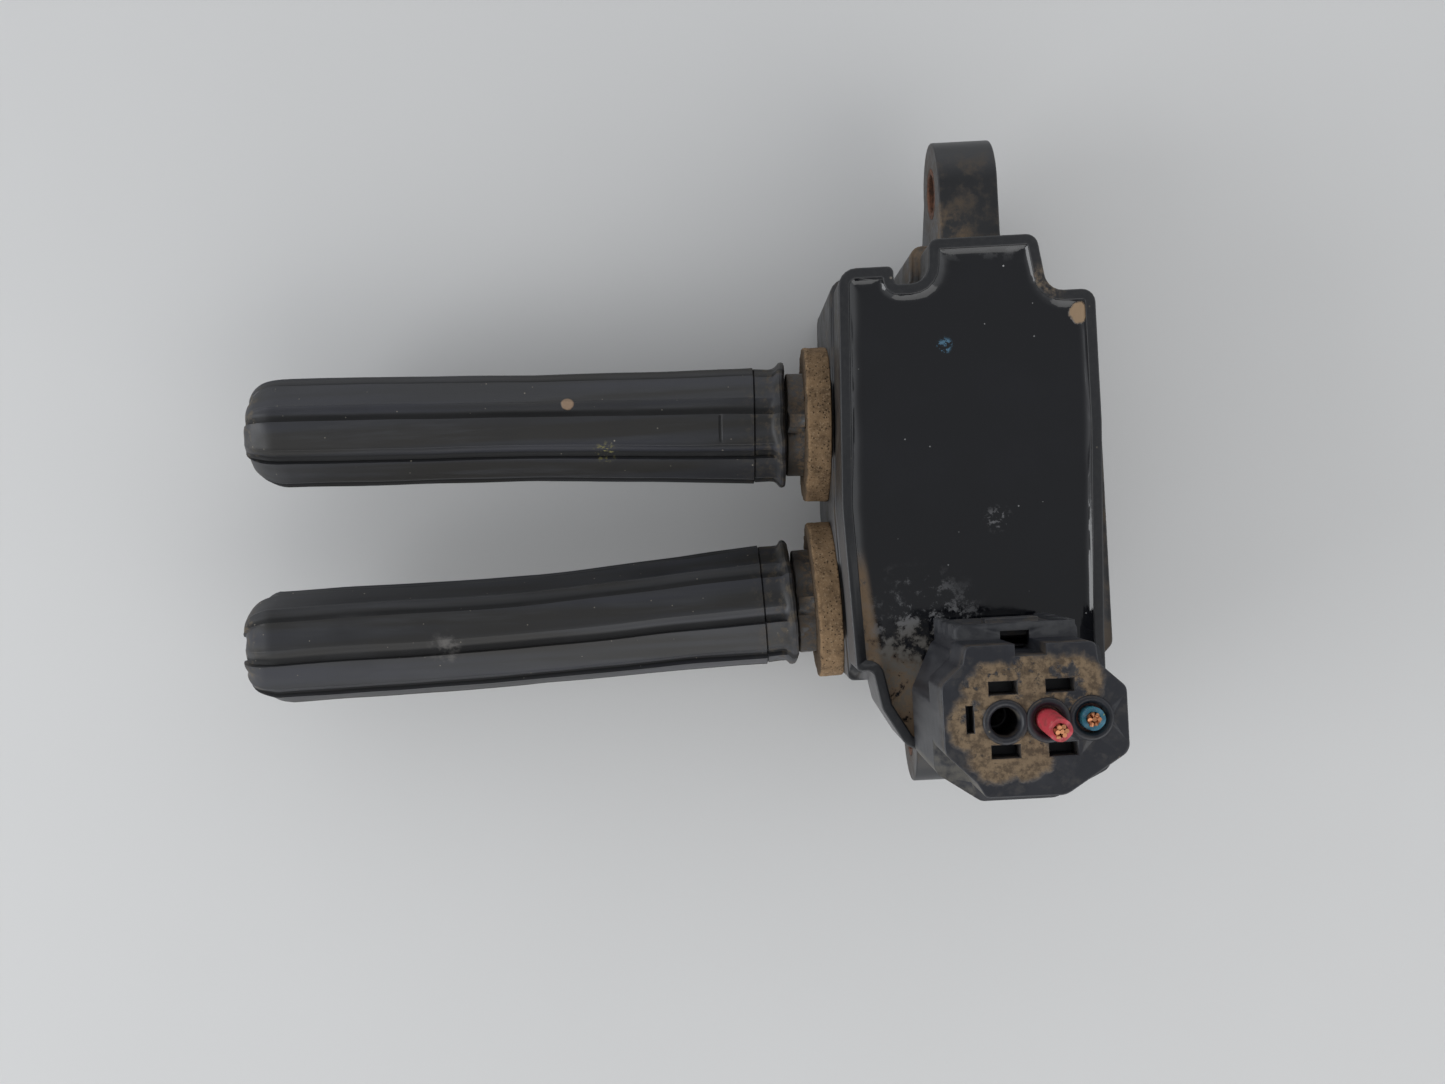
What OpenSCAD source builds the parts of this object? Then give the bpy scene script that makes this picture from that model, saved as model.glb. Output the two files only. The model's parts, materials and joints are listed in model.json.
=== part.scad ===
/* [Body] */
// Front wall to back wall of the lower body, along X
body_x = 46.8; // [45:0.1:49]
// Outer edge of the rim at the back, along X
rim_x = 43.7; // [43:0.1:44.2]
// Height of the rim over the boot axes
rim_z = 24; // [23:0.5:24.4]
// Height of the step under the rim, over the boot axes
step_z = 12; // [11:0.5:13]
// Depth of the underside below the boot axes
under_z = 20; // [18:0.5:24]
// Wall thickness of the body
wall = 2; // [1.6:0.1:2.2]
// Drop of the resin surface below the rim
resin_drop = 1.2; // [0.8:0.1:2]

/* [Towers and boots] */
// Distance of each tower from the middle, along Y
tower_y = 15.6; // [15:0.1:17]
// Angle by which each boot leans away from the middle
splay = 2.1; // [1:0.1:2.5]
// Outer radius of the tower neck
neck_r = 9.15; // [8.5:0.05:9.3]
// Outer radius of the tower nose inside the boot
nose_r = 6; // [5.5:0.1:6.4]
// Reach of the tower nose from the wall
nose_len = 31; // [28:1:33]
// Length of a boot
boot_len = 96.4; // [90:0.2:105]
// Outer radius of a boot at its tip
boot_r = 9.9; // [9.6:0.1:10.2]
// Gap from the wall to the boot's collar
boot_gap = 7.6; // [7:0.1:9]
// Bore radius that grips the spark plug
plug_bore_r = 5.1; // [4.5:0.1:5.4]
// Outer radius of a foam seal
seal_r = 14; // [12:0.5:14.5]
// Thickness of a foam seal
seal_t = 4.4; // [3:0.1:5]

/* [Mounting lugs] */
// Radius of the bolt hole through each bush
bolt_r = 3.3; // [3:0.1:3.5]
// Outer radius of each bush
bush_r = 4.4; // [4.2:0.1:5]
// Thickness of each lug along X
lug_t = 10.3; // [9:0.1:12]
// Radius of the round end of each lug
lug_r = 8.9; // [8:0.1:9.5]
// Front face of the upper lug along X
lug_up_x = 21.5; // [18:0.5:23]
// Hole centre of the upper lug along Y
lug_up_y = 55.9; // [54:0.1:58]
// Front face of the lower lug along X
lug_low_x = 12.6; // [11:0.2:16]
// Hole centre of the lower lug along Y
lug_low_y = -40.1; // [-42:0.1:-39.5]

/* [Harness plug] */
// Rear face of the plug over the boot axes
plug_z = 57.5; // [56:0.5:60]
// Open edge of the plug's skirt over the boot axes
skirt_z = 25; // [24.8:0.1:26]
// Middle of the plug along X
plug_x = 25; // [24.5:0.1:25.5]
// Middle of the plug's cavities along Y
plug_y = -31.7; // [-32:0.1:-31.5]
// Distance between cavities
pitch = 6; // [5.6:0.1:6]
// Outer radius of a wire
wire_r = 1.65; // [1.3:0.05:1.75]

/* [Hidden] */
$fn = 64;
up = 1;
low = -1;
slope = tan(splay);
key_w = 2.2;
key_h = 0.8;
resin_z = rim_z - resin_drop;
resin_floor_z = wall - under_z;
cup_z = 8;
cup_floor_z = cup_z + wall;
rim_wall = 1.8;
rim_inset = 0.6;

// Plan of the rim, counter-clockwise: x, y and corner radius
rim_low_y = -26.8;
rim_up_y = 39;
lobe_y = 43.1;
rim_plan = [
  [rim_inset - rim_low_y * slope, rim_low_y, 1], [4.2, rim_low_y, 1], [5.4, -33, 3], [9, -39.2, 3],
  [13, -41, 2], [37, -41, 5], [rim_x - 1.6, -34, 4], [rim_x - 1.4, -22, 12], [rim_x, 12, 20],
  [rim_x, 33.7, 2.2], [36, 33.7, 3], [34.6, lobe_y, 2], [17, lobe_y, 1.5], [16.6, 36, 3],
  [11, 36, 0.8], [11, rim_up_y, 1], [rim_inset + rim_up_y * slope, rim_up_y, 3], [rim_inset, 0, 20]
];
// Plan of the lower body, in the same form
base_low_y = -29.4;
base_up_y = 39.6;
base_plan = [
  [-base_low_y * slope, base_low_y, 1.2], [body_x - 4, base_low_y, 2], [body_x, base_low_y + 4, 2],
  [body_x, 32, 3], [44, 35, 3], [37.6, 35.2, 2.5], [36.2, 44.4, 2.5], [15.6, 44.4, 2], [15.4, 37.6, 1.6],
  [12.6, 37.6, 0.8], [12.4, base_up_y, 0.8], [base_up_y * slope, base_up_y, 3.2], [0, 0, 20]
];

// Plug plans, about the middle cavity
rear_plan = [
  [-9.2, -10.5, 1], [2, -10.6, 3], [11.2, -4.9, 2], [11.2, 4.1, 1.5], [7.4, 7.7, 2], [7.2, 10.7, 1],
  [-11, 10.9, 1], [-11.6, 8.2, 1.5], [-14.7, 5.5, 1.5], [-14.7, -4, 2], [-10.4, -8.3, 1]
];
hood_plan = [[-10.8, 9, 0.3], [7.2, 9, 0.3], [7.2, 13.1, 1.4], [-10.8, 13.1, 1.4]];
skirt_plan = [
  [-8, -13, 2], [3, -13, 3], [11.4, -9, 2], [12, 2, 2], [10.4, 9.7, 1.5], [-11, 9.7, 1.5],
  [-14.7, 2, 2], [-14.7, -8.4, 2.5]
];
plug_mid_x = -0.3;
socket_x = 20.6;
socket_y = 13;
socket_wall = 1.2;
bore_x = socket_x - 2 * socket_wall;
bore_y = socket_y - 2 * socket_wall;
socket_top_z = 43;
socket_floor_z = 25;
core_x = 16.8;
core_y = 8.4;
core_tip_z = 30;
shelf_z = 45;
cavity_r = 1.55;
collar_r = 2.85;
grommet_r = 2.35;
grommet_z = 48;
pin_r = 0.75;
pin_tail_z = 14;
pin_tail_w = 1.1;
barrel_r = 1.45;
fit_gap = 0.1;
latch_face_y = 9.7;
latch_pivot_z = 37;
latch_top_z = 44.4;
latch_low_z = 26.5;
latch_x = -1.7;
latch_w = 13;
latch_pin_y = 0.7;
latch_pin_r = 0.65;
latch_t = 1.8;
latch_gap = 1.3;
hook_w = 4;
hook_reach = 3.4;
strand_r = 1.0;
red_lean = 12;
red_heading = -55;
red_bend_z = 57;
elbow_swell = 0.05;
red_stub = 5;
blue_end_z = 58.6;

// Coil assembly: the windings run along Y round the core's middle leg
coil_x = 24;
coil_y = 3;
frame_x = 36;
frame_y = 60;
frame_z = 14;
window_x = 28;
window_y = 48;
leg_side = 9;
magnet_t = 1.2;
primary_tube_r = 6.6;
primary_wind_r = 9.3;
secondary_tube_r = 9.9;
secondary_wind_r = 12.8;
bobbin_len = 44;
sections = 6;
lead_r = 0.4;
lead_z = 9.5;
lead_x = 3.6;

// Spring that joins each tower to its spark plug
spring_r = 3.1;
spring_wire_r = 0.4;
spring_pitch = 2.6;
spring_start = nose_len + 2.4;
spring_end = boot_gap + boot_len - 41;
spring_turns = (spring_end - spring_start) / spring_pitch;
spring_steps = 12;
spring_sides = 6;

// The rest pose lies on its underside, with its origin under the middle of the overall box
tip_s = boot_gap + boot_len;
tip_round = 6.5;
tip_drop = 4.3;
tip_r = boot_r - tip_drop;
x_low = tower_y * slope - tip_s * cos(splay) - tip_r * sin(splay);
y_high = lug_up_y + lug_r;
y_low = lug_low_y - lug_r;
rest = [-(x_low + body_x) / 2, -(y_high + y_low) / 2, under_z];

function unit(v) = v / norm(v);
function xy(p) = [p[0], p[1]];
function turn(a, b) = a[0] * b[1] - a[1] * b[0];
function arc(p, q, s, r, steps) =
  let (a = unit(xy(p) - xy(q)), b = unit(xy(s) - xy(q)), half = acos(a * b) / 2)
  let (mid = xy(q) + unit(a + b) * r / sin(half), from = xy(q) + a * r / tan(half) - mid)
  let (start = atan2(from[1], from[0]), sweep = sign(turn(b, a)) * (180 - 2 * half))
  [for (i = [0:steps]) mid + r * [cos(start + sweep * i / steps), sin(start + sweep * i / steps)]];
function rounded(plan, steps = 5) =
  let (n = len(plan))
  [for (i = [0:n - 1]) each arc(plan[(i + n - 1) % n], plan[i], plan[(i + 1) % n], plan[i][2], steps)];
function inward(p, q) = let (d = unit(xy(q) - xy(p))) [-d[1], d[0]];
function moved(p, q, s, d) =
  let (m = inward(p, q), k = inward(q, s), side = sign(turn(xy(q) - xy(p), xy(s) - xy(q))))
  let (at = xy(q) + (m + k) * d / (1 + m * k))
  [at[0], at[1], max(q[2] - side * d, 0.3)];
function inset(plan, d) =
  let (n = len(plan))
  [for (i = [0:n - 1]) moved(plan[(i + n - 1) % n], plan[i], plan[(i + 1) % n], d)];
function helix(r, wire, turns, rise, steps, sides) =
  [for (i = [0:turns * steps])
    let (a = 360 * i / steps)
    for (j = [0:sides - 1])
      let (b = 360 * j / sides, out = r + wire * cos(b))
      [out * cos(a), out * sin(a), rise * i / steps + wire * sin(b)]];
function tube_faces(rings, sides) = [
  for (i = [0:rings - 2])
    for (j = [0:sides - 1])
      let (k = (j + 1) % sides)
      [i * sides + j, (i + 1) * sides + j, (i + 1) * sides + k, i * sides + k],
  [for (j = [0:sides - 1]) j],
  [for (j = [sides - 1:-1:0]) (rings - 1) * sides + j]
];

module prism(plan, z0, z1) {
  translate([0, 0, z0])
    linear_extrude(height = z1 - z0)
      polygon(rounded(plan));
}

module round_bar(size_x, size_y, r, z0, z1) {
  plan = [
    [size_x / 2, -size_y / 2, r], [size_x / 2, size_y / 2, r],
    [-size_x / 2, size_y / 2, r], [-size_x / 2, -size_y / 2, r]
  ];
  prism(plan, z0, z1);
}

module block(size, z0) {
  translate([-size[0] / 2, -size[1] / 2, z0])
    cube(size);
}

// Places a piece whose axis is +Z, starting at the wall, on a tower
module on_tower(side) {
  translate(rest)
    translate([tower_y * slope, side * tower_y, 0])
      rotate([0, 0, -side * splay])
        rotate([0, -90, 0])
          children();
}

// Places a piece about the plug's middle cavity, at the height of the boot axes
module on_plug() {
  translate(rest)
    translate([plug_x, plug_y, 0])
      children();
}

module along_x(x0, y, z, r, length) {
  translate([x0, y, z])
    rotate([0, 90, 0])
      cylinder(r = r, h = length);
}

module ring(r0, r1, z0, z1) {
  translate([0, 0, z0])
    difference() {
      cylinder(r = r1, h = z1 - z0);
      translate([0, 0, -1])
        cylinder(r = r0, h = z1 - z0 + 2);
    }
}

// Lug with a round end, whose web widens towards the body
module lug(face_x, hole_y, root_y, web_low, web_high) {
  web = [
    [hole_y, lug_r], [root_y, web_high], [root_y, -web_low], [hole_y, -lug_r]
  ];
  translate([face_x, 0, 0])
    rotate([90, 0, 90])
      linear_extrude(height = lug_t) {
        translate([hole_y, 0])
          circle(r = lug_r);
        polygon(web);
      }
}

module tower() {
  translate([0, 0, -wall / 2])
    cylinder(r = neck_r, h = boot_gap - 0.3 + wall / 2);
  translate([0, 0, wall])
    cylinder(r = nose_r, h = nose_len - wall);
  translate([neck_r - 0.6, -key_w / 2, -wall / 4])
    cube([0.6 + key_h, key_w, boot_gap - 0.6 + wall / 4]);
}

module socket_shell() {
  translate([plug_mid_x, 0, 0])
    difference() {
      round_bar(socket_x, socket_y, 3, cup_floor_z - 1, socket_top_z);
      round_bar(bore_x, bore_y, 1.8, socket_floor_z, socket_top_z + 1);
    }
  translate([0, socket_y / 2 - 0.2, 0])
    block([hook_w, 1.4, 2], 30.5);
}

module pin_places() {
  for (i = [-1:1])
    translate([i * pitch, 0, 0])
      children();
}

module pin_shape() {
  translate([0, 0, pin_tail_z])
    cylinder(r = pin_r, h = socket_top_z - 2.5 - pin_tail_z);
  translate([-pin_tail_w / 2, -pin_tail_w / 2, pin_tail_z + pin_tail_w])
    cube([pin_tail_w, 9, pin_tail_w]);
}

module body_void() {
  prism(inset(base_plan, wall), resin_floor_z, cup_floor_z + 0.5);
  prism(inset(rim_plan, rim_wall), cup_floor_z, rim_z + 1);
}

module housing() {
  color([0.07, 0.07, 0.075])
    difference() {
      union() {
        translate(rest) {
          difference() {
            union() {
              prism(base_plan, -under_z, step_z);
              prism(rim_plan, cup_z, rim_z);
            }
            body_void();
          }
          lug(lug_up_x, lug_up_y, 43.5, 18, lug_r);
          lug(lug_low_x, lug_low_y, base_low_y + 0.6, 14, lug_r);
        }
        on_plug()
          socket_shell();
        on_tower(up)
          tower();
        on_tower(low)
          tower();
      }
      translate(rest) {
        along_x(lug_up_x - 1, lug_up_y, 0, bush_r, lug_t + 2);
        along_x(lug_low_x - 1, lug_low_y, 0, bush_r, lug_t + 2);
      }
      on_plug()
        pin_places()
          pin_shape();
      for (side = [up, low])
        on_tower(side)
          translate([0, 0, -wall - 1])
            cylinder(r = 1.5, h = nose_len + wall + 2);
    }
}

// The coil assembly stands on the floor of the body, and the resin closes over it
module coil_pocket() {
  translate([coil_x, coil_y, 0]) {
    block([frame_x, frame_y, frame_z / 2 + under_z], -under_z);
    rotate([90, 0, 0])
      translate([0, 0, -window_y / 2])
        cylinder(r = window_x / 2, h = window_y);
  }
}

module lead_shape(side) {
  start_x = tower_y * slope + lead_x;
  reach = coil_x - 10.2 - start_x;
  translate([start_x, side * tower_y, 0])
    cylinder(r = lead_r, h = lead_z, $fn = 24);
  translate([start_x, side * tower_y, lead_z])
    sphere(r = lead_r, $fn = 24);
  along_x(start_x, side * tower_y, lead_z, lead_r, reach);
}

module resin_fill() {
  color([0.02, 0.02, 0.025])
    difference() {
      translate(rest)
        intersection() {
          body_void();
          translate([-10, -60, resin_floor_z])
            cube([80, 120, resin_z - resin_floor_z]);
        }
      translate(rest) {
        coil_pocket();
        lead_shape(up);
        lead_shape(low);
      }
      on_plug() {
        translate([plug_mid_x, 0, 0])
          round_bar(socket_x, socket_y, 3, 0, socket_top_z);
        pin_places()
          pin_shape();
      }
      for (side = [up, low])
        on_tower(side)
          translate([0, 0, -lead_x - 1])
            cylinder(r = 1.5, h = lead_x + wall + 2);
    }
}

module lug_bush(face_x, hole_y) {
  color([0.42, 0.25, 0.17])
    translate(rest)
      difference() {
        along_x(face_x, hole_y, 0, bush_r, lug_t);
        along_x(face_x - 1, hole_y, 0, bolt_r, lug_t + 2);
      }
}

module foam_seal(side) {
  color([0.42, 0.33, 0.24])
    on_tower(side)
      difference() {
        ring(neck_r + 0.05, seal_r, 0, seal_t);
        translate([neck_r - 1, -key_w / 2, -1])
          cube([1 + key_h, key_w, seal_t + 2]);
      }
}

// Outline of a boot from its collar to its tip, as radius and distance
module boot(side) {
  bore_from = boot_len - 40;
  outline = [
    [nose_r + 0.05, 0], [11.05, 0], [11.05, 2.7], [10.2, 3.3], [10.2, 5.2], [10.6, 5.6], [10.5, 7],
    [10.1, 20], [boot_r - 0.25, 45], [boot_r, 72], [boot_r, boot_len - tip_round],
    for (a = [15:15:90])
      [boot_r - tip_drop * (1 - cos(a)), boot_len - tip_round * (1 - sin(a))],
    [plug_bore_r, boot_len - 1], [plug_bore_r, bore_from],
    [3.7, bore_from - 1.5], [3.7, nose_len - boot_gap + 3.5], [nose_r + 0.05, nose_len - boot_gap + 1.2]
  ];
  flutes = 8;
  color([0.09, 0.09, 0.095])
    on_tower(side)
      translate([0, 0, boot_gap])
        difference() {
          rotate_extrude()
            polygon(outline);
          for (i = [0:flutes - 1])
            rotate([0, 0, (i + 0.5) * 360 / flutes])
              translate([9.35, -0.6, 8])
                cube([3, 1.2, boot_len]);
        }
}

module contact_spring(side) {
  rings = floor(spring_turns * spring_steps) + 1;
  points = helix(spring_r, spring_wire_r, spring_turns, spring_pitch, spring_steps, spring_sides);
  color([0.7, 0.7, 0.72])
    on_tower(side)
      translate([0, 0, spring_start])
        polyhedron(points, tube_faces(rings, spring_sides));
}

module tower_terminal(side) {
  color([0.78, 0.62, 0.3])
    on_tower(side) {
      translate([0, 0, -lead_x + lead_r])
        cylinder(r = 1.5, h = nose_len + lead_x - lead_r + 1);
      translate([0, 0, nose_len])
        cylinder(r = 2.4, h = 1.8);
    }
}

module secondary_lead(side) {
  color([0.72, 0.4, 0.2])
    translate(rest)
      lead_shape(side);
}

module core_frame() {
  color([0.35, 0.36, 0.38])
    translate(rest)
      translate([coil_x, coil_y, 0])
        difference() {
          block([frame_x, frame_y, frame_z], -frame_z / 2);
          block([window_x, window_y, frame_z + 2], -frame_z / 2 - 1);
        }
}

module core_leg() {
  color([0.35, 0.36, 0.38])
    translate(rest)
      translate([coil_x - leg_side / 2, coil_y - window_y / 2, -leg_side / 2])
        cube([leg_side, window_y - magnet_t, leg_side]);
}

module bias_magnet() {
  color([0.2, 0.2, 0.21])
    translate(rest)
      translate([coil_x - leg_side / 2, coil_y + window_y / 2 - magnet_t, -leg_side / 2])
        cube([leg_side, magnet_t, leg_side]);
}

// Places a piece whose axis is +Z about the middle of the windings
module on_coil() {
  translate(rest)
    translate([coil_x, coil_y, 0])
      rotate([90, 0, 0])
        children();
}

module primary_bobbin() {
  half = bobbin_len / 2;
  color([0.85, 0.83, 0.76])
    on_coil() {
      ring(primary_tube_r, primary_tube_r + 0.9, -half, half);
      for (z = [-half, half - 1])
        ring(primary_tube_r, primary_wind_r + 0.3, z, z + 1);
    }
}

module primary_winding() {
  color([0.72, 0.4, 0.2])
    on_coil()
      ring(primary_tube_r + 0.9, primary_wind_r, 1 - bobbin_len / 2, bobbin_len / 2 - 1);
}

module secondary_bobbin() {
  step = (bobbin_len - 1) / sections;
  half = bobbin_len / 2;
  color([0.3, 0.3, 0.28])
    on_coil() {
      ring(secondary_tube_r, secondary_tube_r + 0.8, -half, half);
      for (i = [0:sections])
        ring(secondary_tube_r, secondary_wind_r + 0.6, i * step - half, i * step + 1 - half);
    }
}

module secondary_winding() {
  step = (bobbin_len - 1) / sections;
  half = bobbin_len / 2;
  color([0.66, 0.33, 0.14])
    on_coil()
      for (i = [0:sections - 1])
        ring(secondary_tube_r + 0.85, secondary_wind_r, i * step + 1 - half, (i + 1) * step - half);
}

module connector_pin(place) {
  color([0.75, 0.74, 0.7])
    on_plug()
      translate([(place - 2) * pitch, 0, 0])
        pin_shape();
}

module cavity(place) {
  translate([(place - 2) * pitch, 0, 0]) {
    translate([0, 0, core_tip_z - 1])
      cylinder(r = cavity_r, h = plug_z - core_tip_z + 3);
    translate([0, 0, grommet_z])
      cylinder(r = grommet_r, h = plug_z - grommet_z + 3);
  }
}

module rear_slots() {
  depth = 4;
  for (x = [-6.1, 1.9])
    for (y = [4.8, -4.1])
      translate([x, y, 0])
        block([4, 1.8, depth + 1], plug_z - depth);
  translate([-10.9, 0.6, 0])
    block([1, 3.8, depth + 1], plug_z - depth);
}

module plug_housing() {
  color([0.1, 0.1, 0.11])
    on_plug()
      difference() {
        union() {
          prism(skirt_plan, skirt_z, shelf_z + 1);
          prism(rear_plan, shelf_z, plug_z);
          for (i = [1:3])
            translate([(i - 2) * pitch, 0, plug_z - 1])
              cylinder(r = collar_r, h = 1.4);
          prism(hood_plan, shelf_z, shelf_z + 2);
          for (x = [-10.8, 5.4])
            translate([x, 9, skirt_z + 1])
              cube([1.8, 4.1, shelf_z - skirt_z]);
        }
        translate([plug_mid_x, 0, 0])
          difference() {
            round_bar(socket_x + 0.8, socket_y + 0.8, 3.4, skirt_z - 1, socket_top_z + 1.2);
            round_bar(core_x, core_y, 2, core_tip_z, socket_top_z + 2);
          }
        translate([0, latch_face_y, 0])
          block([hook_w + 1, 10, 9], skirt_z - 1);
        translate([-2, latch_face_y + 0.9, 0])
          block([4.3, 2.8, plug_z - shelf_z + 3], shelf_z - 2);
        rear_slots();
        for (i = [1:3])
          cavity(i);
      }
}

module plug_latch() {
  inner = latch_face_y + latch_gap;
  color([0.13, 0.13, 0.14])
    on_plug() {
      translate([latch_x, inner + latch_t / 2, 0])
        block([latch_w, latch_t, latch_top_z - latch_low_z], latch_low_z);
      translate([latch_x, latch_face_y + latch_pin_y + 0.5, 0])
        block([latch_w, 1, 0.9], latch_pivot_z - 0.45);
      along_x(latch_x - latch_w / 2, latch_face_y + latch_pin_y, latch_pivot_z, latch_pin_r, latch_w);
      translate([0, inner - hook_reach / 2, 0])
        block([hook_w, hook_reach + 0.4, 2.4], latch_low_z);
      translate([latch_x, inner + latch_t + 0.4, 0])
        block([8, 1, 3.4], latch_top_z - 4);
    }
}

module plug_seal() {
  color([0.75, 0.45, 0.2])
    on_plug()
      translate([plug_mid_x, 0, 0])
        difference() {
          round_bar(bore_x - 2 * fit_gap, bore_y - 2 * fit_gap, 1.7, 38, 41.5);
          round_bar(core_x, core_y, 2, 37, 42.5);
        }
}

module plug_terminal_lock() {
  color([0.55, 0.56, 0.58])
    on_plug()
      difference() {
        translate([plug_mid_x, 0, 0])
          round_bar(core_x - 0.6, core_y - 0.6, 1.8, core_tip_z - 2.2, core_tip_z - 0.1);
        pin_places()
          translate([0, 0, core_tip_z - 3])
            cylinder(r = pin_r + 0.3, h = 4);
      }
}

module plug_terminal(place) {
  color([0.78, 0.77, 0.72])
    on_plug()
      translate([(place - 2) * pitch, 0, 0]) {
        ring(pin_r + fit_gap, barrel_r, core_tip_z + 1, 43);
        ring(strand_r, barrel_r, 43, 47);
      }
}

module wire_seal(place) {
  color([0.3, 0.12, 0.09])
    on_plug()
      translate([(place - 2) * pitch, 0, 0])
        ring(wire_r, grommet_r, grommet_z, plug_z - 1.2);
}

// A wire that leaves its cavity straight and then leans over, with a ball at its elbow
module leaning_wire(r, z0, stub) {
  translate([0, 0, z0])
    cylinder(r = r, h = red_bend_z - z0);
  translate([0, 0, red_bend_z]) {
    sphere(r = r + elbow_swell);
    rotate([0, 0, red_heading])
      rotate([0, red_lean, 0])
        cylinder(r = r, h = stub);
  }
}

module wire_red_insulation() {
  color([0.72, 0.12, 0.15])
    on_plug()
      difference() {
        leaning_wire(wire_r, grommet_z, red_stub);
        leaning_wire(strand_r, grommet_z - 1, red_stub + 1);
      }
}

module wire_red_copper() {
  color([0.75, 0.45, 0.25])
    on_plug()
      leaning_wire(strand_r, 43, red_stub + 0.8);
}

module wire_blue_insulation() {
  color([0.12, 0.4, 0.5])
    on_plug()
      translate([pitch, 0, 0])
        ring(strand_r, wire_r, grommet_z, blue_end_z);
}

module wire_blue_copper() {
  color([0.75, 0.45, 0.25])
    on_plug()
      translate([pitch, 0, 43])
        cylinder(r = strand_r, h = blue_end_z + 0.6 - 43);
}

housing();
resin_fill();
lug_bush(lug_up_x, lug_up_y);  // lug_bush_upper
lug_bush(lug_low_x, lug_low_y);  // lug_bush_lower
foam_seal(up);  // foam_seal_upper
foam_seal(low);  // foam_seal_lower
boot(up);  // boot_upper
boot(low);  // boot_lower
contact_spring(up);  // contact_spring_upper
contact_spring(low);  // contact_spring_lower
tower_terminal(up);  // tower_terminal_upper
tower_terminal(low);  // tower_terminal_lower
secondary_lead(up);  // secondary_lead_upper
secondary_lead(low);  // secondary_lead_lower
core_frame();
core_leg();
bias_magnet();
primary_bobbin();
primary_winding();
secondary_bobbin();
secondary_winding();
connector_pin(1);  // connector_pin_1
connector_pin(2);  // connector_pin_2
connector_pin(3);  // connector_pin_3
plug_housing();
plug_latch();
plug_seal();
plug_terminal_lock();
plug_terminal(2);  // plug_terminal_2
plug_terminal(3);  // plug_terminal_3
wire_seal(2);  // wire_seal_2
wire_seal(3);  // wire_seal_3
wire_red_insulation();
wire_red_copper();
wire_blue_insulation();
wire_blue_copper();
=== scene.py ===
"""Looks of the ignition coil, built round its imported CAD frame."""
import json
from math import cos, exp, pi, radians, sin

import bmesh
import bpy
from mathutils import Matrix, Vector, geometry
from mathutils.noise import noise


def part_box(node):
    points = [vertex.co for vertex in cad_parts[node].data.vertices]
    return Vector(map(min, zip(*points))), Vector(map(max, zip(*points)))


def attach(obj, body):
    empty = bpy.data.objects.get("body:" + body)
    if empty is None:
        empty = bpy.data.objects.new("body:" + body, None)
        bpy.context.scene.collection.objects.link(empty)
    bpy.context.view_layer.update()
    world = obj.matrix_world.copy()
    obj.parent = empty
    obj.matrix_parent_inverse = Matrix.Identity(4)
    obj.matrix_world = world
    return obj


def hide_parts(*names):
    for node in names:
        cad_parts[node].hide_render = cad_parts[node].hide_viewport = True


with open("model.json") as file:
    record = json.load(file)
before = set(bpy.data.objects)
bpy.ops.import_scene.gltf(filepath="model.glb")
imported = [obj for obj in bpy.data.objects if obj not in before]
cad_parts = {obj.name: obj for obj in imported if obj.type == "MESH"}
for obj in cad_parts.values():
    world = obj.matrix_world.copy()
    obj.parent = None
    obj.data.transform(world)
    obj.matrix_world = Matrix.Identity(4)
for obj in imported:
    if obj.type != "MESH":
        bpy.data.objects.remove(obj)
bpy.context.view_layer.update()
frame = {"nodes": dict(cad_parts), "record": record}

MM = 0.001
RECORD = frame["record"]
MOUNTS = {m["name"]: m for m in RECORD["mounts"]}
NODE_BODY = {n: b for b, nodes in RECORD["behaviour"]["bodies"].items() for n in nodes}
NODE_SLOT = {p["node"]: p["material_slot"] for p in RECORD["subparts"]}
UP = Vector((0, 0, 1))
SCENE = bpy.context.scene


# ---------------------------------------------------------------- node materials

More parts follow.
